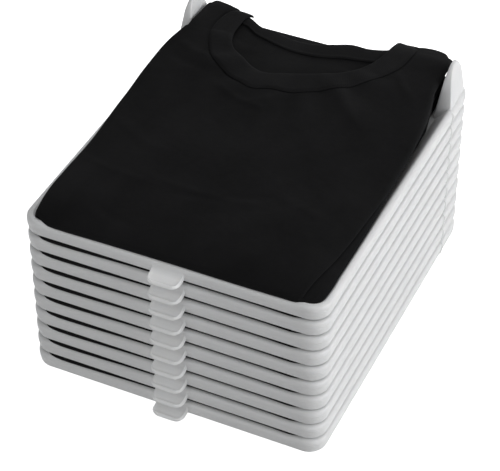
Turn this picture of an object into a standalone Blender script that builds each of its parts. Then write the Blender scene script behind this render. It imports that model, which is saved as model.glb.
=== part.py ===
"""A stack of ten stackable shirt folding boards, each with a folded T-shirt lying in it.

Each board is one white moulding: a shallow tray with a hollow rim, a finger tab at the
front and two hollow horns at the rear corners. The horns taper, so a lower board's horns
reach up into the horns of the boards above it, and each board tips up about the bottom
edge of its own rear wall. Lengths are in millimetres, turned into metres by MM.
The stack stands on Z = 0, X is to the right and Y runs from front to rear.
"""

import math

import bmesh
import bpy
from mathutils import Matrix, Vector

MM = 0.001

# The stack
BOARD_COUNT = 10
PITCH = 15.5  # height from one board to the next

# The tray, seen from above
BOARD_W = 254.0
BOARD_D = 310.0
CORNER_R = 16.0
CORNER_STEPS = 3

# The rim's section as (inset from the outline, height): over the rim, then back beneath it
RIM_OVER = [(15.6, 2.0), (6.6, 12.0), (4.2, 13.0), (1.6, 12.2), (0.0, 9.0), (1.5, 0.0)]
RIM_BENEATH = [(3.0, 0.0), (1.7, 9.0), (4.2, 11.3), (6.2, 10.2), (14.6, 0.0)]
RIM_HEIGHT = 13.0
FLOOR_TOP = 2.0
EDGE_INSET = RIM_OVER[-1][0]  # the bottom edge that the board stands on and tips about

# The front lip is lower than the rest of the rim, and rises to it over this length
LIP_HEIGHT = 11.5
LIP_RISE = 14.0

# A horn: at each height, how far each face lies in from the outline of the board
# (height, outer side, rear, front, inner side, radius of the rear corner)
HORN = [
    (0.4, 2.6, 2.6, 45.6, 17.6, 11.0),
    (13.0, 2.9, 2.9, 42.5, 15.9, 11.0),
    (37.0, 6.2, 9.8, 36.5, 12.5, 4.7),
    (43.5, 7.4, 16.0, 32.5, 11.4, 2.4),
    (47.0, 8.2, 21.0, 27.5, 11.2, 1.4),
]
HORN_EDGE_R = 1.4
# The pocket inside it, open below
POCKET = [
    (-1.0, 2.8, 2.8, 44.2, 16.3, 10.0),
    (13.0, 4.5, 4.5, 41.0, 14.4, 9.0),
    (36.0, 7.4, 11.4, 35.3, 11.2, 3.0),
]
POCKET_EDGE_R = 0.7
REAR_CORNER_STEPS = 3

# The finger tab, as (distance in front of the board, height) round its side view
TAB_W = 28.0
TAB_REACH = 12.6
TAB_CORNER_R = 5.0
TAB_SIDE = [
    (-2.2, 0.5),
    (11.6, 0.5),
    (12.6, 1.7),
    (11.6, 3.2),
    (8.2, 2.7),
    (3.6, 4.4),
    (0.6, 8.0),
    (-2.2, 8.6),
]

# The folded shirts: room left between a shirt and the board above it
TOUCH_GAP = 0.3
SHIRT_FOOT = FLOOR_TOP + TOUCH_GAP
SHIRT_FRONT = 3.0  # the front fold lies on the lip, this far behind the board's front
SHIRT_TOP = PITCH - TOUCH_GAP
TOP_SHIRT_FRONT_Z = 16.0  # the uppermost shirt has nothing on it, so it stands higher
TOP_SHIRT_REAR_Z = 33.0

CENTRE_Y = (BOARD_D - TAB_REACH) / 2  # puts the origin in the middle of the whole box
HINGE_Y = BOARD_D - EDGE_INSET - CENTRE_Y

PLASTIC = (0.84, 0.85, 0.86, 1.0)
COTTON = (0.010, 0.010, 0.011, 1.0)


def clear_scene():
    for obj in list(bpy.data.objects):
        bpy.data.objects.remove(obj)


def material(name, colour, roughness):
    made = bpy.data.materials.new(name)
    made.use_nodes = True
    shader = made.node_tree.nodes["Principled BSDF"]
    shader.inputs["Base Color"].default_value = colour
    shader.inputs["Roughness"].default_value = roughness
    shader.inputs["Metallic"].default_value = 0.0
    return made


def at_board(x, y, z):
    """A point of a board, measured in mm from the middle of its front, about its tipping edge."""
    return Vector((x, y - (BOARD_D - EDGE_INSET), z)) * MM


def loft(name, rings):
    """A closed mesh through rings that hold the same number of points, capped at both ends."""
    bm = bmesh.new()
    loops = [[bm.verts.new(point) for point in ring] for ring in rings]
    for low, high in zip(loops, loops[1:]):
        for i in range(len(low)):
            j = (i + 1) % len(low)
            bm.faces.new((low[i], low[j], high[j], high[i]))
    bm.faces.new(loops[0])
    bm.faces.new(loops[-1])
    bmesh.ops.recalc_face_normals(bm, faces=bm.faces)
    bmesh.ops.triangulate(bm, faces=bm.faces)
    mesh = bpy.data.meshes.new(name)
    bm.to_mesh(mesh)
    bm.free()
    return mesh


def arc(centre_x, centre_y, radius, start_deg, steps):
    """Points over a quarter turn, anticlockwise from start_deg."""
    points = []
    for i in range(steps + 1):
        angle = math.radians(start_deg + 90 * i / steps)
        points.append((centre_x + radius * math.cos(angle), centre_y + radius * math.sin(angle)))
    return points


def rim_ring(inset, height):
    """The board's outline, moved in by inset at one height, dipping along the front lip."""
    half_w = BOARD_W / 2
    radius = CORNER_R - inset
    x = half_w - CORNER_R
    near = CORNER_R
    far = BOARD_D - CORNER_R
    lip_x = x - LIP_RISE
    lip_z = height
    if height > FLOOR_TOP:
        lip_z = FLOOR_TOP + (height - FLOOR_TOP) * (LIP_HEIGHT - FLOOR_TOP) / (RIM_HEIGHT - FLOOR_TOP)
    corners = arc(x, near, radius, 270, CORNER_STEPS)
    corners += arc(x, far, radius, 0, CORNER_STEPS)
    corners += arc(-x, far, radius, 90, CORNER_STEPS)
    corners += arc(-x, near, radius, 180, CORNER_STEPS)
    ring = [at_board(px, py, height) for px, py in corners]
    ring.append(at_board(-lip_x, inset, lip_z))
    ring.append(at_board(lip_x, inset, lip_z))
    return ring


def tray_mesh():
    return loft("tray", [rim_ring(inset, height) for inset, height in RIM_OVER + RIM_BENEATH])


def horn_mesh(name, levels, edge_r):
    """The right-hand horn, or the pocket in it: a tapering box with a rounded rear corner."""
    rings = []
    for height, side, rear, front, inner, corner_r in levels:
        left = BOARD_W / 2 - inner
        right = BOARD_W / 2 - side
        near = BOARD_D - front
        far = BOARD_D - rear
        outline = arc(right - edge_r, near + edge_r, edge_r, 270, 1)
        outline += arc(right - corner_r, far - corner_r, corner_r, 0, REAR_CORNER_STEPS)
        outline += arc(left + edge_r, far - edge_r, edge_r, 90, 1)
        outline += arc(left + edge_r, near + edge_r, edge_r, 180, 1)
        rings.append([at_board(x, y, height) for x, y in outline])
    return loft(name, rings)


def tab_mesh():
    """The tongue's side view, carried across its width and drawn in at its rounded corners."""
    half_w = TAB_W / 2
    rings = []
    for angle_deg in (0, 40, 90):
        angle = math.radians(angle_deg)
        x = half_w - TAB_CORNER_R * (1 - math.cos(angle))
        reach = TAB_REACH - TAB_CORNER_R * (1 - math.sin(angle))
        rings.append((x, reach / TAB_REACH))
    stations = [(-x, share) for x, share in rings] + [(x, share) for x, share in reversed(rings)]
    sections = []
    for x, share in stations:
        section = []
        for forward, height in TAB_SIDE:
            section.append(at_board(x, -forward * (share if forward > 0 else 1), height))
        sections.append(section)
    return loft("tab", sections)


def mirrored(mesh):
    """A copy of a mesh for the other side of the board."""
    copy = mesh.copy()
    copy.transform(Matrix.Scale(-1, 4, Vector((1, 0, 0))))
    copy.flip_normals()
    return copy


def joined(base, steps):
    """The mesh left when base has each (operation, mesh) carried out on it in turn."""
    scene = bpy.context.scene.collection
    work = bpy.data.objects.new("work", base)
    scene.objects.link(work)
    tools = []
    for operation, mesh in steps:
        tool = bpy.data.objects.new("tool", mesh)
        scene.objects.link(tool)
        tools.append(tool)
        boolean = work.modifiers.new(operation, "BOOLEAN")
        boolean.operation = operation
        boolean.solver = "EXACT"
        boolean.object = tool
    graph = bpy.context.evaluated_depsgraph_get()
    made = bpy.data.meshes.new_from_object(work.evaluated_get(graph))
    for helper in [work, *tools]:
        bpy.data.objects.remove(helper)
    return made


def board_mesh():
    horn = horn_mesh("horn", HORN, HORN_EDGE_R)
    pocket = horn_mesh("pocket", POCKET, POCKET_EDGE_R)
    steps = [
        ("UNION", horn),
        ("UNION", mirrored(horn)),
        ("DIFFERENCE", pocket),
        ("DIFFERENCE", mirrored(pocket)),
        ("UNION", tab_mesh()),
    ]
    made = joined(tray_mesh(), steps)
    made.name = "board"
    return made


def shirt_ring(side, front, rear, front_z, rear_z):
    """A folded shirt's outline: square in front, drawn in at the rear to pass between the horns."""
    half_w = BOARD_W / 2
    waist_y = 215.0
    rear_draw = 9.0
    corner = 9.0
    far = BOARD_D - rear
    x = half_w - side
    right = [(x - corner, front), (x, front + corner), (x, waist_y)]
    right += [(x - rear_draw, far - corner), (x - rear_draw - corner, far)]
    outline = right + [(-px, py) for px, py in reversed(right)]
    slope = (rear_z - front_z) / (BOARD_D - SHIRT_FRONT)
    return [at_board(px, py, front_z + slope * (py - SHIRT_FRONT)) for px, py in outline]


def shirt_mesh(name, top_front_z, top_rear_z, rear_inset):
    """A folded shirt: it fills the tray, and above the rim its front fold lies over the lip."""
    clear = RIM_HEIGHT + 0.5
    side = 12.0
    round_over = 3.0
    edge_front_z = top_front_z - 0.8
    edge_rear_z = top_rear_z - 0.8
    levels = [
        shirt_ring(19.0, 19.0, 20.0, SHIRT_FOOT, SHIRT_FOOT),
        shirt_ring(side - 0.5, 10.5, 14.0, clear - 0.6, clear - 0.6),
        shirt_ring(side - 1, SHIRT_FRONT, rear_inset, clear, clear),
        shirt_ring(side, SHIRT_FRONT, rear_inset, edge_front_z, edge_rear_z),
        shirt_ring(
            side + round_over,
            SHIRT_FRONT + round_over,
            rear_inset + round_over,
            top_front_z,
            top_rear_z,
        ),
    ]
    return loft(name, levels)


def place(name, mesh, finish, parent, location):
    obj = bpy.data.objects.new(name, mesh)
    bpy.context.scene.collection.objects.link(obj)
    obj.location = location
    obj.parent = parent
    if not mesh.materials:
        mesh.materials.append(finish)
    return obj


def main():
    clear_scene()
    plastic = material("white_plastic", PLASTIC, 0.42)
    cotton = material("black_cotton", COTTON, 0.9)
    board = board_mesh()
    board.materials.clear()
    pressed_shirt = shirt_mesh("pressed_shirt", SHIRT_TOP, SHIRT_TOP, 13.0)
    top_shirt = shirt_mesh("top_shirt", TOP_SHIRT_FRONT_Z, TOP_SHIRT_REAR_Z, 1.0)
    below = None
    for number in range(1, BOARD_COUNT + 1):
        location = Vector((0, HINGE_Y * MM, 0)) if below is None else Vector((0, 0, PITCH * MM))
        below = place(f"folding_board_{number:02d}", board, plastic, below, location)
        shirt = top_shirt if number == BOARD_COUNT else pressed_shirt
        place(f"folded_shirt_{number:02d}", shirt, cotton, below, Vector((0, 0, 0)))


main()
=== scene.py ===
"""Looks for the stack of shirt folding boards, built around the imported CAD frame.

Every board is one fine mesh shared by ten pieces, and every shirt is a tube of knit cloth
folded as a real T-shirt is: its sides to the middle of the back, its hem tucked in, and the
lower half under the upper. Shapes are laid out in millimetres on a board: x from its left
side, y from its front edge, z from its underside.
"""

import math

import bmesh
import bpy
import numpy as np
from mathutils import Matrix, Vector


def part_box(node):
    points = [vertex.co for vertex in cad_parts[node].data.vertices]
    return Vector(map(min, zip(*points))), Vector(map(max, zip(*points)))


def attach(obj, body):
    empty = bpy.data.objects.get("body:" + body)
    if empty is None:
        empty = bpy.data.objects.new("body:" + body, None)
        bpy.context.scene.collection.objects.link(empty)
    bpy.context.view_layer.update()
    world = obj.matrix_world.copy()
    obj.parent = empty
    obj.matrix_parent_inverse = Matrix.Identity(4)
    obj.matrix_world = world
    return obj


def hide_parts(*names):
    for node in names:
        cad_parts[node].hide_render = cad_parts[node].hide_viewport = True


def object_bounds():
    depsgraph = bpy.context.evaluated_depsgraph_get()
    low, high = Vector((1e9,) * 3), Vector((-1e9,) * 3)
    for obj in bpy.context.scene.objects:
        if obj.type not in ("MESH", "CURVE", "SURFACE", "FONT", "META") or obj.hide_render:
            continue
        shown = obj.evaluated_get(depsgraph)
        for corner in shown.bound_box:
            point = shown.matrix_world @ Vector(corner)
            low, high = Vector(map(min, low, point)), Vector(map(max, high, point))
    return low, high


MM = 0.001

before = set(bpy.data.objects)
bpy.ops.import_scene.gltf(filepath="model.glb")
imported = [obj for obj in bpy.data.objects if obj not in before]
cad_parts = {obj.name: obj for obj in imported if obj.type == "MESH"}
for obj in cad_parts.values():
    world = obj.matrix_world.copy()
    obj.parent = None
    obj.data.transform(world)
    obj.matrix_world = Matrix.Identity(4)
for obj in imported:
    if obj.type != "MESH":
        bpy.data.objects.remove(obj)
cad_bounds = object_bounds()

# The board, as in the CAD
COUNT = 10
TOP = COUNT
WIDTH = 254.0
DEPTH = 310.0
CORNER_R = 16.0
LIP_DROP = 1.5
LIP_RISE = 14.0
FLOOR_TOP = 2.0
RIM_TOP = 13.0
TAB_W = 28.0
TAB_REACH = 12.6
PITCH = 15.5


def board_origin(number):
    """The front left corner of a board's box without its tab, at its underside."""
    low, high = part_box(f"folding_board_{number:02d}")
    return Vector((low.x, high.y - DEPTH * MM, low.z))


# ---------------------------------------------------------------- materials

TAB_PAINTED_LIGHT_FROM = 4.5  # the tab is painted paler from this far in front of the board: painted light for the light the tab catches
STITCH_W = 0.9  # of plain knit
STITCH_H = 0.7
RIB_W = 1.5  # one rib of the neckband's knit
RIBBED_GAIN = 1.3  # the neckband is a little paler than the body


class Nodes:
    """A short way of writing a material's nodes."""

    def __init__(self, name):
        self.material = bpy.data.materials.new(name)
        self.material.use_nodes = True
        self.tree = self.material.node_tree
        self.shader = self.tree.nodes["Principled BSDF"]

    def add(self, kind, **settings):
        node = self.tree.nodes.new(kind)
        for key, value in settings.items():
            setattr(node, key, value)
        return node

    def link(self, source, target):
        self.tree.links.new(source, target)

    def value(self, socket, value):
        if isinstance(value, bpy.types.NodeSocket):
            self.link(value, socket)
        else:
            socket.default_value = value

    def math(self, operation, a, b=0.0):
        node = self.add("ShaderNodeMath", operation=operation)
        self.value(node.inputs[0], a)
        self.value(node.inputs[1], b)
        return node.outputs[0]

    def noise(self, vector, scale, detail=3.0, roughness=0.55):
        node = self.add("ShaderNodeTexNoise")
        self.link(vector, node.inputs["Vector"])
        node.inputs["Scale"].default_value = scale
        node.inputs["Detail"].default_value = detail
        node.inputs["Roughness"].default_value = roughness
        return node.outputs["Fac"]

    def remap(self, source, low, high, to_low, to_high):
        node = self.add("ShaderNodeMapRange")
        self.link(source, node.inputs["Value"])
        for key, value in (
            ("From Min", low),
            ("From Max", high),
            ("To Min", to_low),
            ("To Max", to_high),
        ):
            node.inputs[key].default_value = value
        return node.outputs["Result"]

    def mix(self, factor, a, b):
        node = self.add("ShaderNodeMix", data_type="RGBA")
        self.value(node.inputs["Factor"], factor)
        node.inputs["A"].default_value = (*a, 1.0)
        node.inputs["B"].default_value = (*b, 1.0)
        return node.outputs["Result"]

    def bump(self, height, strength, distance, before=None):
        node = self.add("ShaderNodeBump")
        node.inputs["Strength"].default_value = strength
        node.inputs["Distance"].default_value = distance
        self.link(height, node.inputs["Height"])
        if before is not None:
            self.link(before, node.inputs["Normal"])
        return node.outputs["Normal"]


def plastic_material():
    """White plastic: satin, milky, with faint flow marks, and painted paler on the tab as painted light,
    standing in for the light the tab catches.
    """
    n = Nodes("board_plastic")
    place = n.add("ShaderNodeTexCoord").outputs["Object"]
    cloud = n.noise(place, 14.0, 4.0)
    colour = n.mix(n.remap(cloud, 0.3, 0.7, 0.0, 1.0), (0.735, 0.742, 0.748), (0.765, 0.770, 0.772))
    split = n.add("ShaderNodeSeparateXYZ")
    n.link(place, split.inputs[0])
    # Painted light: the tab is set paler to stand in for the light it catches, not for a colour of the
    # plastic
    painted_tab_light = n.add("ShaderNodeMix", data_type="RGBA")
    n.link(n.remap(split.outputs["Y"], 0.0, -TAB_PAINTED_LIGHT_FROM * MM, 0.0, 1.0), painted_tab_light.inputs["Factor"])
    n.link(colour, painted_tab_light.inputs["A"])
    painted_tab_light.inputs["B"].default_value = (0.94, 0.945, 0.945, 1.0)
    n.link(painted_tab_light.outputs["Result"], n.shader.inputs["Base Color"])
    scuffs = n.noise(place, 160.0, 5.0, 0.7)
    n.link(n.remap(scuffs, 0.3, 0.75, 0.34, 0.48), n.shader.inputs["Roughness"])
    grain = n.noise(place, 1500.0, 2.0)
    flow = n.noise(place, 45.0, 2.0)
    normal = n.bump(flow, 0.12, 0.0004)
    n.link(n.bump(grain, 0.10, 0.00006, normal), n.shader.inputs["Normal"])
    n.shader.inputs["IOR"].default_value = 1.49
    n.shader.inputs["Specular IOR Level"].default_value = 0.42
    n.shader.inputs["Subsurface Weight"].default_value = 0.35
    n.shader.inputs["Subsurface Radius"].default_value = (0.0050, 0.0048, 0.0045)
    n.shader.inputs["Subsurface Scale"].default_value = 1.0
    return n.material


def cotton_material(name, ribbed=False):
    """Black cotton jersey: rows of fine stitches, a matt nap and slight fading on the folds."""
    n = Nodes(name)
    place = n.add("ShaderNodeTexCoord").outputs["Object"]
    fade = n.noise(place, 22.0, 4.0, 0.6)
    gain = RIBBED_GAIN if ribbed else 1.0
    dark = (0.0056 * gain, 0.0056 * gain, 0.0059 * gain)
    faded = (0.0094 * gain, 0.0093 * gain, 0.0098 * gain)
    colour = n.mix(n.remap(fade, 0.3, 0.7, 0.0, 1.0), dark, faded)
    n.link(colour, n.shader.inputs["Base Color"])
    fuzz = n.noise(place, 900.0, 3.0, 0.7)
    n.link(n.remap(fuzz, 0.2, 0.8, 0.78, 0.92), n.shader.inputs["Roughness"])
    along = n.add("ShaderNodeAttribute", attribute_name="cloth_u").outputs["Fac"]
    across = n.add("ShaderNodeAttribute", attribute_name="cloth_v").outputs["Fac"]
    wale = n.math("SINE", n.math("MULTIPLY", along, 2 * math.pi / (RIB_W if ribbed else STITCH_W)))
    course = n.math("SINE", n.math("MULTIPLY", across, 2 * math.pi / STITCH_H))
    knit = n.math("ADD", wale, n.math("MULTIPLY", course, 0.35 if ribbed else 0.8))
    rumples = n.bump(n.noise(place, 42.0, 3.0, 0.5), 0.55, 0.0016)
    normal = n.bump(knit, 0.45, 0.00012 if ribbed else 0.00006, rumples)
    n.link(n.bump(fuzz, 0.35, 0.00008, normal), n.shader.inputs["Normal"])
    n.shader.inputs["Specular IOR Level"].default_value = 0.06
    n.shader.inputs["Sheen Weight"].default_value = 0.02
    n.shader.inputs["Sheen Roughness"].default_value = 0.55
    n.shader.inputs["Sheen Tint"].default_value = (0.75, 0.77, 0.80, 1.0)
    return n.material


# ---------------------------------------------------------------- the board

# Edges that turn by more than this aren't shaded smooth
BOARD_SHARP_DEG = 38.0
BAND_SHARP_DEG = 70.0

# The tray's section, as (inset from the outline, height): over the rim from the floor
SECTION = [
    (15.8, 2.00),
    (15.4, 2.05),
    (14.6, 2.45),
    (13.2, 3.90),
    (8.6, 9.20),
    (7.2, 10.80),
    (6.3, 11.85),
    (5.5, 12.55),
    (4.6, 12.95),
    (3.7, 13.00),
    (2.8, 12.80),
    (1.9, 12.45),
    (1.1, 11.80),
    (0.55, 10.90),
    (0.32, 10.00),
    (0.50, 9.60),
    (0.30, 9.20),
    (0.25, 8.20),
    (0.28, 7.30),
    (0.55, 6.90),
    (0.38, 6.50),
    (0.42, 5.40),
    (0.50, 4.50),
    (0.85, 4.10),
    (0.74, 3.70),
    (0.88, 2.90),
    (1.20, 2.20),
    (1.30, 1.70),
    (1.15, 1.20),
    (1.25, 0.65),
    (1.60, 0.20),
    (2.20, 0.00),
    (3.20, 0.00),
    (3.50, 0.30),
    (3.50, 1.50),
    (2.70, 3.40),
    (2.30, 5.50),
    (2.10, 8.60),
    (2.45, 10.30),
    (3.20, 11.20),
    (4.30, 11.45),
    (5.30, 11.00),
    (6.40, 9.80),
    (12.6, 2.50),
    (13.9, 0.90),
    (14.6, 0.20),
    (15.2, 0.00),
    (15.8, 0.00),
]
OUTER_SKIN = 2.0  # the outside of the wall has insets below this
RIB_FROM_REAR = 44.5  # a fine rib runs up the side wall into the horn's front ridge
RIB_HALF = 0.8
RIB_PROUD = 0.9
RIB_SHOULDER = 0.8  # its share of RIB_PROUD half way to its edge
RIB_BELOW_RIM = 0.3
EVEN = 1.2  # a narrow face beside each curve keeps the long flat walls evenly shaded
CORNER_STEPS = 10
LIP_STATIONS = (17.5, 19.5, 21.5, 23.5, 25.5, 27.5, 29.5)  # points along the lip's rise

# The horn and its pocket, as in the CAD: height, then insets of the outer side, rear, front
# and inner side, then the rear corner's radius
HORN = [
    (0.4, 2.6, 2.6, 45.6, 17.6, 11.0),
    (13.0, 2.9, 2.9, 42.5, 15.9, 11.0),
    (25.0, 4.5, 5.6, 39.3, 14.2, 8.0),
    (37.0, 6.2, 9.8, 36.5, 12.5, 4.7),
    (43.5, 7.4, 16.0, 32.5, 11.4, 2.4),
    (46.2, 8.0, 19.6, 28.9, 11.2, 1.5),
    (46.8, 8.4, 20.6, 27.9, 10.9, 1.1),
    (47.0, 9.0, 22.0, 26.5, 10.4, 0.6),
]
POCKET = [
    (-1.0, 2.8, 2.8, 44.2, 16.3, 10.0),
    (13.0, 4.5, 4.5, 41.0, 14.4, 9.0),
    (36.0, 7.4, 11.4, 35.3, 11.2, 3.0),
]
HORN_EDGE_R = 1.3
POCKET_EDGE_R = 0.7
MOST_EDGE = 0.4  # an edge's radius is at most this share of the horn's thickness
HORN_CORNER_STEPS = 8


def smooth(low, high, value):
    """A soft step: 0 where value is at low, and 1 where it is at high."""
    t = np.clip((value - low) / (high - low), 0, 1)
    return t * t * (3 - 2 * t)


def quarter(centre_x, centre_y, radius, start_deg, steps):
    """Points along a quarter of a circle, both ends included."""
    points = []
    for i in range(steps + 1):
        angle = math.radians(start_deg + 90 * i / steps)
        points.append((centre_x + radius * math.cos(angle), centre_y + radius * math.sin(angle)))
    return points


def lip_share(x):
    """1 along the front lip, and 0 where the rim has its full height at the corners."""
    from_middle = abs(x - WIDTH / 2)
    start = WIDTH / 2 - CORNER_R - LIP_RISE
    return 1 - smooth(start, start + LIP_RISE, from_middle)


def tray_ring(inset, height):
    """The outline of the tray moved in by inset, with its front lip dipped."""
    radius = CORNER_R - inset
    right = WIDTH - CORNER_R
    rear = DEPTH - CORNER_R
    ring = quarter(right, CORNER_R, radius, 270, CORNER_STEPS)
    rib_y = DEPTH - RIB_FROM_REAR
    rib = [
        (-RIB_HALF - EVEN, 0),
        (-RIB_HALF, 0),
        (-RIB_HALF / 2, RIB_SHOULDER),
        (0, 1),
        (RIB_HALF / 2, RIB_SHOULDER),
        (RIB_HALF, 0),
        (RIB_HALF + EVEN, 0),
    ]
    has_rib = inset < OUTER_SKIN and 0 < height < RIM_TOP - RIB_BELOW_RIM
    proud = RIB_PROUD if has_rib else 0.0
    ring.append((WIDTH - inset, CORNER_R + EVEN))
    ring += [(WIDTH - inset + proud * share, rib_y + dy) for dy, share in rib]
    ring.append((WIDTH - inset, rear - EVEN))
    ring += quarter(right, rear, radius, 0, CORNER_STEPS)
    ring += [(right - EVEN, DEPTH - inset), (CORNER_R + EVEN, DEPTH - inset)]
    ring += quarter(CORNER_R, rear, radius, 90, CORNER_STEPS)
    ring.append((inset, rear - EVEN))
    ring += [(inset - proud * share, rib_y - dy) for dy, share in rib]
    ring.append((inset, CORNER_R + EVEN))
    ring += quarter(CORNER_R, CORNER_R, radius, 180, CORNER_STEPS)
    ring += [(x, inset) for x in LIP_STATIONS]
    ring += [(WIDTH - x, inset) for x in reversed(LIP_STATIONS)]
    points = []
    for x, y in ring:
        z = height
        if y < CORNER_R and height > FLOOR_TOP:
            z -= lip_share(x) * LIP_DROP * (height - FLOOR_TOP) / (RIM_TOP - FLOOR_TOP)
        points.append(Vector((x, y, z)))
    return points


def loft(name, rings):
    """A closed mesh through rings with the same number of points, capped at both ends."""
    bm = bmesh.new()
    loops = [[bm.verts.new(point) for point in ring] for ring in rings]
    for low, high in zip(loops, loops[1:]):
        for i in range(len(low)):
            j = (i + 1) % len(low)
            bm.faces.new((low[i], low[j], high[j], high[i]))
    bm.faces.new(loops[0])
    bm.faces.new(loops[-1])
    bmesh.ops.recalc_face_normals(bm, faces=bm.faces)
    mesh = bpy.data.meshes.new(name)
    bm.to_mesh(mesh)
    bm.free()
    return mesh


def horn_mesh(name, levels, edge_r, edge_steps):
    """The right horn, or its pocket, through its levels from bottom to top."""
    rings = []
    for height, side, rear, front, inner, corner_r in levels:
        left = WIDTH - inner
        right = WIDTH - side
        near = DEPTH - front
        far = DEPTH - rear
        edge = min(edge_r, (right - left) * MOST_EDGE, (far - near) * MOST_EDGE)
        outline = quarter(right - edge, near + edge, edge, 270, edge_steps)
        outline += quarter(right - corner_r, far - corner_r, corner_r, 0, HORN_CORNER_STEPS)
        outline += quarter(left + edge, far - edge, edge, 90, edge_steps)
        outline += quarter(left + edge, near + edge, edge, 180, edge_steps)
        rings.append([Vector((x, y, height)) for x, y in outline])
    return loft(name, rings)


def mirrored(mesh):
    """A copy for the other side of the board."""
    copy = mesh.copy()
    flip = Matrix.Translation((WIDTH, 0, 0)) @ Matrix.Scale(-1, 4, Vector((1, 0, 0)))
    copy.transform(flip)
    copy.flip_normals()
    return copy


# The tab's top along its middle, as (distance in front of the board, height)
TAB_TOP = [
    (-2.2, 9.2),
    (-0.6, 9.2),
    (-0.25, 8.2),
    (0.05, 7.3),
    (0.5, 6.4),
    (1.2, 5.6),
    (2.2, 4.9),
    (3.6, 4.35),
    (5.4, 3.95),
    (7.2, 3.6),
    (8.6, 3.2),
    (9.4, 2.95),
    (10.0, 3.0),
    (10.6, 3.35),
    (11.1, 3.45),
    (11.6, 3.3),
    (12.05, 2.85),
    (12.4, 2.3),
    (12.55, 1.8),
    (12.6, 1.5),
]
TAB_UNDER = 0.5
TAB_CORNER_R = 7.2
TAB_STEPS = 16
TIP_FROM = 11.6  # the underside turns up from here to the tip
TIP_SLOPE = 0.5
LEAST_HALF = 0.05  # half of the tab's thickness where it is thinnest
EDGE_CROWDING = 0.8  # below 1, the section's points gather towards the edges
EDGE_ROUND = 1.1
BEAD_HEIGHT = 0.55
BEAD_INSET = 1.5
BEAD_HALF = 1.1
BEAD_FADE = 4.0  # the bead grows over this distance in front of the board


def tab_mesh():
    """A dished tongue with a raised bead round its edge."""
    rings = []
    for forward, top in TAB_TOP:
        to_tip = max(TAB_REACH - forward, 0.0)
        half_w = TAB_W / 2
        if to_tip < TAB_CORNER_R:
            half_w -= TAB_CORNER_R - math.sqrt(TAB_CORNER_R**2 - (TAB_CORNER_R - to_tip) ** 2)
        middle = (top + TAB_UNDER) / 2
        under = min(TAB_UNDER + TIP_SLOPE * max(0.0, forward - TIP_FROM), middle - LEAST_HALF)
        upper = []
        lower = []
        for i in range(TAB_STEPS + 1):
            share = -1 + 2 * i / TAB_STEPS
            share = math.copysign(abs(share) ** EDGE_CROWDING, share)
            x = share * half_w
            edge = half_w - abs(x)
            bead = BEAD_HEIGHT * math.exp(-(((edge - BEAD_INSET) / BEAD_HALF) ** 2))
            bead *= smooth(0, BEAD_FADE, forward)
            round_off = math.sqrt(1 - (1 - min(edge / EDGE_ROUND, 1.0)) ** 2)
            upper.append((x, middle + (top + bead - middle) * round_off))
            lower.append((x, middle - (middle - under) * round_off))
        section = upper + lower[-2:0:-1]
        rings.append([Vector((WIDTH / 2 + x, -forward, z)) for x, z in section])
    return loft("tab", rings)


def joined(base, steps):
    """The mesh left when base has each (operation, mesh) carried out on it in turn."""
    scene = bpy.context.scene.collection
    work = bpy.data.objects.new("work", base)
    scene.objects.link(work)
    tools = []
    for operation, mesh in steps:
        tool = bpy.data.objects.new("tool", mesh)
        scene.objects.link(tool)
        tools.append(tool)
        boolean = work.modifiers.new(operation, "BOOLEAN")
        boolean.operation = operation
        boolean.solver = "EXACT"
        boolean.object = tool
    graph = bpy.context.evaluated_depsgraph_get()
    made = bpy.data.meshes.new_from_object(work.evaluated_get(graph))
    for helper in [work, *tools]:
        bpy.data.objects.remove(helper)
    return made


def board_mesh():
    """One whole board in metres, with its horns, their pockets beneath, and its tab."""
    tray = loft("tray", [tray_ring(inset, height) for inset, height in SECTION])
    horn = horn_mesh("horn", HORN, HORN_EDGE_R, 4)
    pocket = horn_mesh("pocket", POCKET, POCKET_EDGE_R, 2)
    made = joined(
        tray,
        [
            ("UNION", horn),
            ("UNION", mirrored(horn)),
            ("DIFFERENCE", pocket),
            ("DIFFERENCE", mirrored(pocket)),
            ("UNION", tab_mesh()),
        ],
    )
    made.transform(Matrix.Scale(MM, 4))
    made.materials.clear()
    made.materials.append(plastic_material())
    made.shade_smooth()
    made.set_sharp_from_angle(angle=math.radians(BOARD_SHARP_DEG))
    made.name = "board"
    return made


def place(name, mesh, number, body, slot, node):
    """Put a mesh on a board as a piece that stands for a CAD node and rides on its body."""
    obj = bpy.data.objects.new(name, mesh)
    bpy.context.scene.collection.objects.link(obj)
    obj.location = board_origin(number)
    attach(obj, body)
    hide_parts(node)
    return obj


board = board_mesh()
for number in range(1, COUNT + 1):
    tag = f"{number:02d}"
    place(f"board_{tag}_moulding", board, number, f"board_{tag}", "white_plastic", f"folding_board_{tag}")

# ---------------------------------------------------------------- the shirts

# A shirt's body is a tube 930 mm round and 715 mm long. Folded, it lies in bundles of four
# layers: front panel, back panel, back flap, front flap. Layer numbers run from 0 (the front
# panel, outermost) to 3, and a height share of 1 is the shirt's top and 0 its underside.
FOOT_Z = 2.4
LAYERS_FRONT = 7.0  # gaps between layers ahead of the tucked hem
LAYERS_REAR = 11.0  # and over it
TUCK_FROM = 165.0
TUCK_FULL = 200.0
NEST = 0.9  # each inner layer turns this much further in
INNER_SHARE = 0.985  # the inner layers turn here, just inside the outer ones
FLAP_EDGE = 0.015  # the two flaps nearly meet, this far from the middle
FLAP_TURN = 0.8
INNER_TURN = 0.6  # the inner turn's reach, as a share of the outer turn's
FRONT_TURN_ROWS = 12
UNDER_ROWS = 12
REAR_TURN_ROWS = 8
TUCK_ROWS = 8
PRESSED_GAP = 0.3  # between a pressed shirt and the board above
CLEAR_OF_RIM = 13.4  # above this height a shirt may reach past the rear edge
OVERHANG = 30.0
CURVE_STEPS = 400
EDGE_POINTS = 301
SEAM_POINTS = 160


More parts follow.
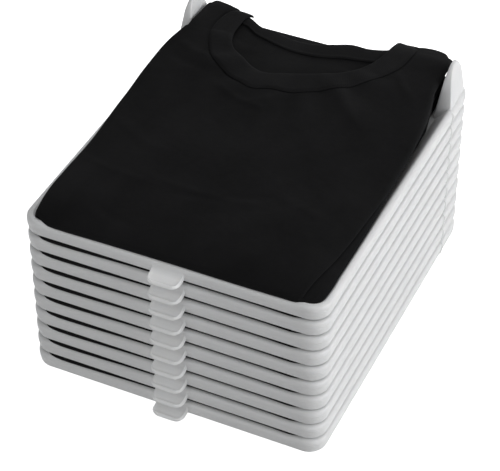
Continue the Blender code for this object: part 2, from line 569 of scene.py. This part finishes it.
def curve(points, at):
    """A smooth curve through points (t, value), evaluated at the given t."""
    t = np.array([p[0] for p in points], float)
    v = np.array([p[1] for p in points], float)
    slope = np.gradient(v, t)
    at = np.clip(np.asarray(at, float), t[0], t[-1])
    i = np.clip(np.searchsorted(t, at) - 1, 0, len(t) - 2)
    h = t[i + 1] - t[i]
    q = (at - t[i]) / h
    return (
        (2 * q**3 - 3 * q**2 + 1) * v[i]
        + (q**3 - 2 * q**2 + q) * h * slope[i]
        + (-2 * q**3 + 3 * q**2) * v[i + 1]
        + (q**3 - q**2) * h * slope[i + 1]
    )


def path_points(points, count):
    """count points spread evenly along a smooth line through (x, y) points."""
    points = np.array(points, float)
    chord = np.concatenate([[0], np.cumsum(np.linalg.norm(np.diff(points, axis=0), axis=1))])
    fine = np.linspace(0, chord[-1], CURVE_STEPS)
    x = curve(list(zip(chord, points[:, 0])), fine)
    y = curve(list(zip(chord, points[:, 1])), fine)
    along = np.concatenate([[0], np.cumsum(np.hypot(np.diff(x), np.diff(y)))])
    even = np.linspace(0, along[-1], count)
    return np.stack([np.interp(even, along, x), np.interp(even, along, y)], axis=1)


# How far in from the outline a shirt stays, as (height, distance): it follows the inner slope
# of the rim, and lets go above it
SIDE_CLEAR = [(2.0, 17.4), (9.0, 10.6), (11.8, 7.8), (12.9, 6.2), (13.3, 0.5)]
FRONT_CLEAR = [(2.0, 17.4), (8.0, 11.6), (10.5, 8.6), (11.4, 7.2), (11.65, 0.5)]
HORN_CLEAR = [(0.0, 18.5), (13.0, 16.7), (25.0, 15.0), (37.0, 13.3)]
HORN_FROM = 252
HORN_FULL = 264


def clearance(pairs, z):
    heights, distances = zip(*pairs)
    return np.interp(z, heights, distances)


def side_clearance(z):
    """How far in a shirt stays at the sides and rear of the tray."""
    return clearance(SIDE_CLEAR, z)


def horn_clearance(y, z):
    """The same beside the horns, which stand further in."""
    return clearance(HORN_CLEAR, z) * smooth(HORN_FROM, HORN_FULL, y)


def front_clearance(z):
    """How far behind the front edge a shirt stays, down in the tray."""
    return clearance(FRONT_CLEAR, z)


class Shirt:
    """The outline and top of one folded shirt, in millimetres on its board."""

    columns = 26
    hidden_columns = 9
    turn_steps = 8
    rows = 22
    side_radius = 2.4
    front_radius = 2.4
    rear_radius = 3.0
    rear_edge = 299.0
    rear_under = 301.0
    tuck = 104.0

    def left(self, y):
        """The left fold: over the rim in front, and drawn in at the rear to pass the horn."""
        return curve([(0, 5.8), (60, 7.0), (180, 9.5), (240, 13.0), (262, 18.4), (330, 19.5)], y)

    def right(self, y, share):
        return WIDTH - curve([(0, 9.5), (180, 10.5), (240, 13.0), (262, 18.4), (330, 19.5)], y)

    def front(self, across):
        """The front fold: rounded at the left corner, and lying less over the lip to the right."""
        return curve(
            [(0.0, 6.2), (0.015, 3.6), (0.035, 1.9), (0.06, 1.15), (0.11, 0.9), (0.2, 1.3),
             (0.35, 2.6), (0.6, 3.6), (0.86, 3.4), (0.93, 3.0), (0.97, 4.4), (1.0, 9.0)],
            across,
        )

    def rear(self, across, layer):
        return np.full_like(across, self.rear_edge)

    def rear_x(self, across, layer):
        left = self.left(np.array([self.rear_edge]))[0]
        right = self.right(np.array([self.rear_edge]), 1.0)[0]
        return left + (right - left) * across

    def top(self, x, y):
        return np.full_like(x, PITCH - PRESSED_GAP)


def across_columns(shirt):
    """The cloth's columns once round its tube: share across, outward step and layer."""
    rows = []

    def flat(start, end, layer, count):
        for i in range(count):
            rows.append((start + (end - start) * i / count, 0.0, layer))

    def turn(share, start, end, reach, count):
        for i in range(count):
            angle = math.pi * i / count
            layer = (start + end) / 2 + (start - end) / 2 * math.cos(angle)
            rows.append((share, math.copysign(reach, share) * math.sin(angle), layer))

    hidden = shirt.hidden_columns
    inner_reach = shirt.side_radius * INNER_TURN
    flat(-1.0, 1.0, 0, shirt.columns)
    turn(1.0, 0, 3, shirt.side_radius, shirt.turn_steps)
    flat(1.0, FLAP_EDGE, 3, hidden)
    turn(FLAP_EDGE, 3, 2, FLAP_TURN, 2)
    flat(FLAP_EDGE, INNER_SHARE, 2, hidden)
    turn(INNER_SHARE, 2, 1, inner_reach, 4)
    flat(INNER_SHARE, -INNER_SHARE, 1, shirt.columns // 2)
    turn(-INNER_SHARE, 1, 2, inner_reach, 4)
    flat(-INNER_SHARE, -FLAP_EDGE, 2, hidden)
    turn(-FLAP_EDGE, 2, 3, FLAP_TURN, 2)
    flat(-FLAP_EDGE, -1.0, 3, hidden)
    turn(-1.0, 3, 0, shirt.side_radius, shirt.turn_steps)
    return np.array(rows)


def along_rows(shirt):
    """The cloth's rows from the shoulders to the hem: stage, and how far through it."""
    rows = [("top", i / shirt.rows) for i in range(shirt.rows)]
    rows += [("front turn", i / FRONT_TURN_ROWS) for i in range(FRONT_TURN_ROWS)]
    rows += [("under", i / UNDER_ROWS) for i in range(UNDER_ROWS)]
    rows += [("rear turn", i / REAR_TURN_ROWS) for i in range(REAR_TURN_ROWS)]
    rows += [("tuck", i / (TUCK_ROWS - 1)) for i in range(TUCK_ROWS)]
    return rows


def layer_gap(y):
    """One layer's share of the height, which shrinks where the tucked hem adds more layers."""
    return 1 / LAYERS_FRONT + (1 / LAYERS_REAR - 1 / LAYERS_FRONT) * smooth(TUCK_FROM, TUCK_FULL, y)


def kept_in_tray(x, y, z, left, right, front_y, rear_y):
    """The points drawn in to pass the tray's walls and the horns."""
    side = np.maximum(side_clearance(z), horn_clearance(y, z))
    low_x = np.maximum(left, side)
    high_x = np.minimum(right, WIDTH - side)
    x = low_x + (x - left) * (high_x - low_x) / (right - left)
    rear_limit = DEPTH - np.where(z < CLEAR_OF_RIM, side_clearance(z), -OVERHANG)
    low_y = np.maximum(front_y, front_clearance(z))
    high_y = np.minimum(rear_y, rear_limit)
    y = low_y + (y - front_y) * (high_y - low_y) / (rear_y - front_y)
    return np.stack([x, y, z], axis=1)


def folded_points(shirt, share, outward, layer, stage, through):
    """Where one row of the cloth lies, for arrays of its columns."""
    across = (share + 1) / 2
    front_y = shirt.front(across)
    rear_y = shirt.rear(across, layer)
    lower_rear = np.full_like(across, shirt.rear_under)
    nose = shirt.front_radius
    rear_nose = shirt.rear_radius
    front_end = front_y + nose + NEST * layer
    rear_end = lower_rear - rear_nose - NEST * layer
    if stage == "top":
        y = rear_y + (front_end - rear_y) * through
        f = 1 - layer * layer_gap(y)
    elif stage == "front turn":
        angle = math.pi * through
        y = front_end - nose * math.sin(angle)
        gap = 1 / LAYERS_FRONT
        f = (1 - layer * gap) + (2 * layer * gap - 1) * (1 - math.cos(angle)) / 2
    elif stage == "under":
        y = front_end + (rear_end - front_end) * through
        f = layer * layer_gap(y)
    elif stage == "rear turn":
        angle = math.pi * through
        y = rear_end + rear_nose * math.sin(angle)
        gap = 1 / LAYERS_REAR
        f = layer * gap + (LAYERS_FRONT - 2 * layer) * gap * (1 - math.cos(angle)) / 2
    else:
        y = rear_end - shirt.tuck * through
        f = (LAYERS_FRONT - layer) * layer_gap(y)
    left = shirt.left(y)
    right = shirt.right(y, f)
    straight = left + (right - left) * across
    if stage == "top":
        fan = shirt.rear_x(across, layer)
        plain = shirt.left(rear_y) + (shirt.right(rear_y, f) - shirt.left(rear_y)) * across
        straight = straight + (fan - plain) * (1 - through)
    inset = np.sign(share) * shirt.side_radius * np.minimum(1, np.abs(share) ** 6)
    x = straight - inset + outward
    z = FOOT_Z + f * (shirt.top(x, y) - FOOT_Z)
    return kept_in_tray(x, y, z, left, right, front_y, np.maximum(rear_y, lower_rear))


def cloth_mesh(name, shirt):
    """The whole folded body as one sheet, with its knit's directions stored on it."""
    share, outward, layer = across_columns(shirt).T
    rows = along_rows(shirt)
    grid = np.array([folded_points(shirt, share, outward, layer, *row) for row in rows])
    count = len(share)
    verts = grid.reshape(-1, 3) * MM
    faces = []
    for r in range(len(rows) - 1):
        for c in range(count):
            d = (c + 1) % count
            faces.append((r * count + c, r * count + d, (r + 1) * count + d, (r + 1) * count + c))
    mesh = bpy.data.meshes.new(name)
    mesh.from_pydata([tuple(v) for v in verts], [], faces)
    middle = grid[shirt.rows // 2]
    u = np.concatenate([[0], np.cumsum(np.linalg.norm(np.diff(middle, axis=0), axis=1))])
    column = grid[:, shirt.columns // 2]
    v = np.concatenate([[0], np.cumsum(np.linalg.norm(np.diff(column, axis=0), axis=1))])
    store(mesh, "cloth_u", np.tile(u, len(rows)))
    store(mesh, "cloth_v", np.repeat(v, count))
    mesh.shade_smooth()
    return mesh


def store(mesh, name, values):
    """Keep one number for each vertex, for a material to read."""
    attribute = mesh.attributes.new(name, "FLOAT", "POINT")
    attribute.data.foreach_set("value", np.asarray(values, np.float32))


class TopShirt(Shirt):
    """The uppermost shirt: nothing presses it, so it swells towards its collar."""

    columns = 170
    hidden_columns = 12
    turn_steps = 22
    rows = 150
    side_radius = 4.0
    front_radius = 3.6

    # The rear edge of the front panel from left to right: shoulder, beneath the collar, shoulder
    FRONT_EDGE = [
        (15.0, 300.0), (18.0, 306.0), (28.0, 304.5), (40.0, 300.5), (47.0, 297.5), (50.0, 290.0),
        (50.5, 272.0), (53.0, 256.0), (60.0, 241.0), (72.0, 229.0), (86.0, 221.0), (98.0, 218.5),
        (114.0, 221.0), (132.0, 226.0), (152.0, 236.0), (168.0, 247.0), (180.0, 260.0), (188.0, 276.0),
        (191.0, 296.0), (192.5, 314.0), (202.0, 316.0), (219.0, 319.0), (230.0, 316.0), (236.5, 309.0),
    ]
    BACK_EDGE = [
        (15.0, 300.0), (18.0, 306.0), (28.0, 304.5), (40.0, 300.5), (52.0, 294.0), (66.0, 281.0),
        (88.0, 276.0), (104.0, 273.0), (124.0, 274.0), (152.0, 284.0), (170.0, 284.0), (184.0, 294.0),
        (194.0, 312.0), (206.0, 316.0), (219.0, 319.0), (230.0, 316.0), (236.5, 309.0),
    ]

    def __init__(self):
        self.front_edge = path_points(self.FRONT_EDGE, EDGE_POINTS)
        self.back_edge = path_points(self.BACK_EDGE, EDGE_POINTS)
        self.seam_line = path_points(SEAM, SEAM_POINTS)

    def edge(self, across, layer):
        """x and y of the rear edge: the front panel's for layer 0, and the back's for the rest."""
        at = np.linspace(0, 1, EDGE_POINTS)
        found = []
        for k in (0, 1):
            front = np.interp(across, at, self.front_edge[:, k])
            back = np.interp(across, at, self.back_edge[:, k])
            found.append(np.where(layer < 0.5, front, back))
        return found

    def rear(self, across, layer):
        return self.edge(across, layer)[1]

    def rear_x(self, across, layer):
        return self.edge(across, layer)[0]

    def left(self, y):
        return curve(
            [(0, 12.5), (8, 10.0), (20, 8.6), (60, 7.2), (115, 6.2), (160, 4.6), (205, 4.4), (240, 7.0),
             (262, 12.5), (285, 15.2), (305, 16.0), (330, 17.0)],
            y,
        )

    def right(self, y, share):
        """The right fold: an upper and a lower outline, with an undercut between them in front."""
        crease = curve(
            [(0, 234.5), (12, 236.0), (45, 241.5), (75, 245.0), (100, 246.8), (130, 248.0), (166, 248.3),
             (200, 247.8), (225, 246.6), (240, 244.6), (251, 242.4), (262, 240.4), (275, 239.8),
             (300, 239.4), (330, 239.0)],
            y,
        )
        lower = curve(
            [(0, 238.5), (5, 243.0), (10, 246.3), (18, 248.4), (43, 248.6), (88, 248.4), (126, 247.0),
             (166, 244.5), (198, 242.4), (223, 241.8), (248, 240.2), (262, 236.8), (300, 235.5),
             (330, 235.5)],
            y,
        )
        beneath = -4.5 * np.exp(-(((share - 0.875) / 0.035) ** 2)) * smooth(150, 90, y)
        return lower + (crease - lower) * smooth(0.74, 0.83, share) + beneath

    def front(self, across):
        return curve(
            [(0.0, 6.4), (0.015, 3.8), (0.035, 2.1), (0.06, 1.4), (0.11, 1.1), (0.2, 1.3),
             (0.5, 1.8), (0.9, 2.0), (0.96, 2.4), (1.0, 3.4)],
            across,
        )

    def top(self, x, y):
        """The upper surface: its height down the middle, crowned, low at the sides and neck."""
        spine = curve(
            [(0, 13.9), (5, 15.4), (12, 17.6), (22, 19.8), (36, 21.4), (60, 21.8), (90, 21.6), (130, 22.4),
             (180, 24.8), (220, 28.5), (255, 32.0), (280, 33.5), (300, 33.5), (312, 31.0), (330, 27.0)],
            y,
        )
        middle = np.clip((x - WIDTH / 2) / 120.0, -1.05, 1.05)
        crown = (1 - middle**2) * (1.0 + 1.4 * smooth(20, 120, y) * (1 - smooth(200, 290, y)))
        left_low = -2.2 * smooth(60, 0, x) * smooth(20, 90, y) * (1 - smooth(180, 260, y))
        right_low = -3.0 * smooth(200, 250, x) * smooth(0, 60, y) * (1 - smooth(230, 285, y))
        neck = -2.6 * np.exp(-(((x - 120) / 62) ** 2) - ((y - 272) / 26) ** 2)
        seam = -0.9 * np.exp(-((self.from_seam(x, y) / 1.6) ** 2))
        return spine + crown + left_low + right_low + neck + seam + wrinkles(x, y)

    def from_seam(self, x, y):
        """How far points lie from the line just outside the neckband's seam."""
        near = np.full(np.shape(x), 1e3)
        for px, py in self.seam_line:
            near = np.minimum(near, np.hypot(x - px, y - py))
        return near


# Creases in the top shirt: from (x, y), to (x, y), half-width, height
CREASES = [
    (20, 240, 54, 227, 4.0, 0.75),
    (22, 223, 56, 214, 4.5, -0.60),
    (76, 198, 112, 188, 3.6, 0.70),
    (110, 193, 132, 214, 4.0, 0.55),
    (166, 233, 198, 198, 5.0, 0.75),
    (185, 263, 198, 300, 4.5, -0.80),
    (204, 268, 222, 246, 4.0, 0.70),
    (18, 79, 79, 70, 3.4, 0.40),
    (80, 76, 156, 78, 3.6, 0.45),
    (54, 28, 84, 21, 4.0, -0.50),
    (102, 65, 166, 89, 4.0, -0.40),
    (167, 158, 176, 208, 6.0, 0.60),
    (28, 24, 29, 74, 4.5, -0.45),
    (115, 134, 116, 170, 6.0, -0.50),
    (18, 132, 65, 110, 5.0, 0.50),
    (178, 96, 214, 88, 5.0, 0.45),
]


def crease(x, y, from_x, from_y, to_x, to_y, half, height):
    """One soft ridge or furrow that fades out past its ends."""
    run = np.array([to_x - from_x, to_y - from_y])
    length = np.hypot(*run)
    run = run / length
    along = (x - from_x) * run[0] + (y - from_y) * run[1]
    aside = (y - from_y) * run[0] - (x - from_x) * run[1] + 0.04 * length * np.sin(along / length * 3.1)
    fade = smooth(-0.35 * length, 0.25 * length, along) * smooth(1.35 * length, 0.75 * length, along)
    return height * np.exp(-((aside / half) ** 2)) * fade


# Where the drag lines fan out from, inside the neck
NECK_X = 118.0
NECK_Y = 262.0


def wrinkles(x, y):
    """Soft folds of a loosely laid knit: broad swells, creases and drag lines from the neck."""
    swell = 0.75 * np.sin(x / 27.0 + 1.3 * np.sin(y / 43.0)) * np.sin(y / 33.0 + 0.8)
    swell += 0.42 * np.sin((x + 0.6 * y) / 14.0 + 1.7 * np.sin(x / 37.0)) * np.sin(y / 19.0 + 2.0)
    from_neck = np.hypot(x - NECK_X, y - NECK_Y)
    angle = np.arctan2(y - NECK_Y, x - NECK_X)
    fan = 0.85 * np.cos(angle * 13.0 + from_neck / 34.0)
    fan = fan * np.exp(-(((from_neck - 66.0) / 20.0) ** 2)) * (angle < 0)
    total = swell + fan
    for line in CREASES:
        total = total + crease(x, y, *line)
    return total * (0.35 + 0.65 * smooth(0, 30, y))


# The neckband: its seam and its free edge, from the left shoulder round the front to the right
SEAM = [
    (50.0, 299.5), (42.0, 293.0), (37.5, 281.0), (37.5, 262.0), (43.5, 246.0), (54.5, 229.5),
    (68.0, 219.5), (85.0, 210.5), (97.5, 207.5), (112.0, 211.5), (131.0, 214.5), (155.5, 228.0),
    (174.5, 241.5), (188.0, 256.5), (200.0, 274.0), (204.0, 294.0), (204.0, 315.5),
]
FREE_EDGE = [
    (60.5, 297.0), (57.5, 290.0), (56.5, 277.0), (57.0, 264.5), (64.0, 248.5), (75.5, 240.0),
    (89.0, 231.0), (101.0, 227.0), (113.0, 231.0), (127.0, 236.5), (149.0, 246.5), (167.0, 257.5),
    (177.0, 271.0), (183.0, 286.0), (185.0, 302.0), (186.0, 318.0),
]
# The same band behind the neck, seen from its inside: free edge at the rear, then its seam
BACK_FREE = [
    (52.0, 297.0), (62.0, 292.0), (72.0, 286.5), (87.0, 285.5), (101.0, 282.0), (121.0, 283.0),
    (138.0, 288.5), (152.0, 293.5), (169.0, 293.5), (184.0, 300.0), (190.0, 310.0),
]
BACK_SEAM = [
    (50.0, 283.0), (60.0, 282.5), (72.0, 275.5), (87.0, 271.5), (101.0, 268.5), (121.0, 268.0),
    (138.0, 271.0), (152.0, 275.0), (168.0, 277.0), (182.0, 280.0), (196.0, 290.0),
]

# The band's section, as (share of its width from the seam, height above the panel)
BAND_SECTION = [
    (-0.01, -0.90), (0.00, 0.10), (-0.03, 0.85), (0.01, 1.45), (0.08, 1.75), (0.15, 1.45), (0.22, 1.60),
    (0.50, 1.75), (0.78, 1.75), (0.92, 1.65), (0.985, 1.15), (1.0, 0.2), (0.96, -0.7), (0.80, -0.9),
    (0.30, -0.9),
]


BAND_POINTS = 170
BAND_END_POINTS = 6.0  # this many points at each end of the band bend down
BAND_END_DROP = 3.0


def band_mesh(name, seam, edge, top):
    """A folded strip of rib knit between its seam and its free edge, lying on the surface top."""
    count = BAND_POINTS
    outer = path_points(seam, count)
    inner = path_points(edge, count)
    rings = []
    shares = np.array([share for share, _ in BAND_SECTION])
    heights = np.array([height for _, height in BAND_SECTION])
    end = np.minimum(np.arange(count), count - 1 - np.arange(count)) / BAND_END_POINTS
    tuck_down = -BAND_END_DROP * (1 - np.minimum(end, 1.0)) ** 2
    x = outer[:, :1] + (inner - outer)[:, :1] * shares
    y = outer[:, 1:] + (inner - outer)[:, 1:] * shares
    z = top(x, y) + heights + tuck_down[:, None]
    for i in range(count):
        rings.append([Vector(point) * MM for point in zip(x[i], y[i], z[i])])
    mesh = loft(name, rings)
    middle = (outer + inner) / 2
    along = np.concatenate([[0], np.cumsum(np.linalg.norm(np.diff(middle, axis=0), axis=1))])
    width = np.linalg.norm(inner - outer, axis=1)
    store(mesh, "cloth_u", np.repeat(along, len(BAND_SECTION)))
    store(mesh, "cloth_v", (shares[None, :] * width[:, None]).ravel())
    mesh.shade_smooth()
    mesh.set_sharp_from_angle(angle=math.radians(BAND_SHARP_DEG))
    return mesh


cotton = cotton_material("black_jersey")
rib = cotton_material("black_rib", ribbed=True)

pressed = cloth_mesh("pressed_shirt", Shirt())
pressed.materials.append(cotton)
for number in range(1, COUNT):
    tag = f"{number:02d}"
    shirt = place(f"shirt_{tag}", pressed, number, f"board_{tag}", "black_cotton", f"folded_shirt_{tag}")

top_shape = TopShirt()
loose = cloth_mesh("top_shirt", top_shape)
loose.materials.append(cotton)
tag = f"{TOP:02d}"
top_shirt = place(f"shirt_{tag}", loose, TOP, "top_shirt", "black_cotton", f"folded_shirt_{tag}")


def back_top(x, y):
    """The inside of the back panel, one layer below the front."""
    return FOOT_Z + (1 - 1 / LAYERS_REAR) * (top_shape.top(x, y) - FOOT_Z)


for name, mesh in (
    ("neckband_front", band_mesh("neckband_front", SEAM, FREE_EDGE, top_shape.top)),
    ("neckband_back", band_mesh("neckband_back", BACK_SEAM, BACK_FREE, back_top)),
):
    mesh.materials.append(rib)
    band = bpy.data.objects.new(name, mesh)
    bpy.context.scene.collection.objects.link(band)
    band.location = board_origin(TOP)
    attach(band, "top_shirt")


# ---------------------------------------------------------------- floor, light and camera

FLOOR_HALF = 60.0  # wide enough to fill a low view
FLOOR_GAP = 0.0003  # keeps the floor and the underside out of one plane
FLOOR_GLOW = 0.92  # makes the floor white in the picture
WORLD_STRENGTH = 0.14
LIT_POINT = (0.0, 0.0, 0.08)

# The lamps, as (name, place, size, strength in watts)
LAMPS = [
    ("key_right", (1.7, 0.1, 0.62), (1.4, 1.2), 24.0),
    ("top", (0.1, 0.3, 1.9), (1.6, 1.6), 5.0),
    ("front_top", (-0.2, -1.2, 1.45), (1.2, 1.0), 4.8),
    ("front_low", (-0.3, -1.9, 0.35), (1.2, 0.8), 5.5),
    ("rear", (-0.3, 1.7, 0.9), (1.6, 1.0), 10.0),
]

CAMERA_TARGET = Vector((0.0010, -0.0051, 0.06975))
CAMERA_AZIMUTH_DEG = 24.89
CAMERA_ELEVATION_DEG = 40.48
CAMERA_DISTANCE = 1.589
LENS_MM = 139.66
SENSOR_MM = 36.0


def stage_floor():
    """A white ground for the picture, which isn't part of the object."""
    mesh = bpy.data.meshes.new("floor")
    half = FLOOR_HALF
    mesh.from_pydata(
        [(-half, -half, 0), (half, -half, 0), (half, half, 0), (-half, half, 0)], [], [(0, 1, 2, 3)]
    )
    floor = bpy.data.objects.new("floor", mesh)
    bpy.context.scene.collection.objects.link(floor)
    floor.location.z = cad_bounds[0].z - FLOOR_GAP
    n = Nodes("pale_floor")
    n.shader.inputs["Base Color"].default_value = (0.86, 0.86, 0.86, 1.0)
    n.shader.inputs["Roughness"].default_value = 0.9
    n.shader.inputs["Specular IOR Level"].default_value = 0.0
    n.shader.inputs["Emission Color"].default_value = (1.0, 1.0, 1.0, 1.0)
    n.shader.inputs["Emission Strength"].default_value = FLOOR_GLOW
    mesh.materials.append(n.material)
    # Its glow then shows in reflections only, and doesn't light the object from below
    floor.visible_diffuse = False


def softbox(name, place, size, strength):
    """A rectangular lamp turned to the middle of the stack."""
    light = bpy.data.lights.new(name, "AREA")
    light.shape = "RECTANGLE"
    light.size, light.size_y = size
    light.energy = strength
    obj = bpy.data.objects.new(name, light)
    bpy.context.scene.collection.objects.link(obj)
    obj.location = place
    direction = Vector(LIT_POINT) - Vector(place)
    obj.rotation_mode = "QUATERNION"
    obj.rotation_quaternion = direction.to_track_quat("-Z", "Y")


def studio():
    """Soft light from all round, brightest from the right as in the photo."""
    world = bpy.data.worlds.new("studio")
    bpy.context.scene.world = world
    world.use_nodes = True
    tree = world.node_tree
    shader = tree.nodes["Background"]
    shader.inputs["Color"].default_value = (1.0, 1.0, 1.0, 1.0)
    shader.inputs["Strength"].default_value = WORLD_STRENGTH
    for lamp in LAMPS:
        softbox(*lamp)
    bpy.context.scene.view_settings.view_transform = "Standard"


def camera():
    """The camera that was fitted to the top board's corners and edges in the photo."""
    azimuth = math.radians(CAMERA_AZIMUTH_DEG)
    elevation = math.radians(CAMERA_ELEVATION_DEG)
    data = bpy.data.cameras.new("camera")
    data.lens = LENS_MM
    data.sensor_width = SENSOR_MM
    obj = bpy.data.objects.new("camera", data)
    bpy.context.scene.collection.objects.link(obj)
    back = Vector(
        (
            math.sin(azimuth) * math.cos(elevation),
            -math.cos(azimuth) * math.cos(elevation),
            math.sin(elevation),
        )
    )
    obj.location = CAMERA_TARGET + back * CAMERA_DISTANCE
    obj.rotation_mode = "QUATERNION"
    obj.rotation_quaternion = (-back).to_track_quat("-Z", "Y")
    data.clip_start = 0.05
    data.clip_end = 50.0
    bpy.context.scene.camera = obj


stage_floor()
studio()
camera()
